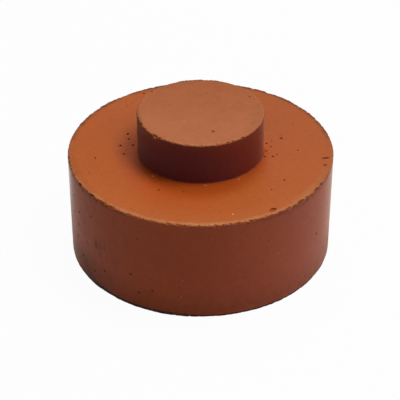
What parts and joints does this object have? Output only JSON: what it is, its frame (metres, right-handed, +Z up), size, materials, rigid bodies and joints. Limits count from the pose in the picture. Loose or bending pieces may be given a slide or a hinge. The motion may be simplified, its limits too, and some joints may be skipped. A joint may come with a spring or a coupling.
{
  "type": "round clay brick with a spigot",
  "caption": "Round fired clay brick: a thick disc with a coaxial round spigot on its top face, for stacking or locating in a socket of the same size.",
  "frame": {"origin": "centre of the flat underside", "axes": "+Z up along the common axis of the disc and the spigot; X and Y are free, because the brick is round"},
  "size_m": [0.122, 0.122, 0.07],
  "materials": {
    "fired_clay": "smooth moulded fired clay, unglazed, with a faint burnished sheen, pinholes and chipped edges"
  },
  "bodies": {
    "root": {"clay_brick": "fired_clay"}
  },
  "joints": []
}
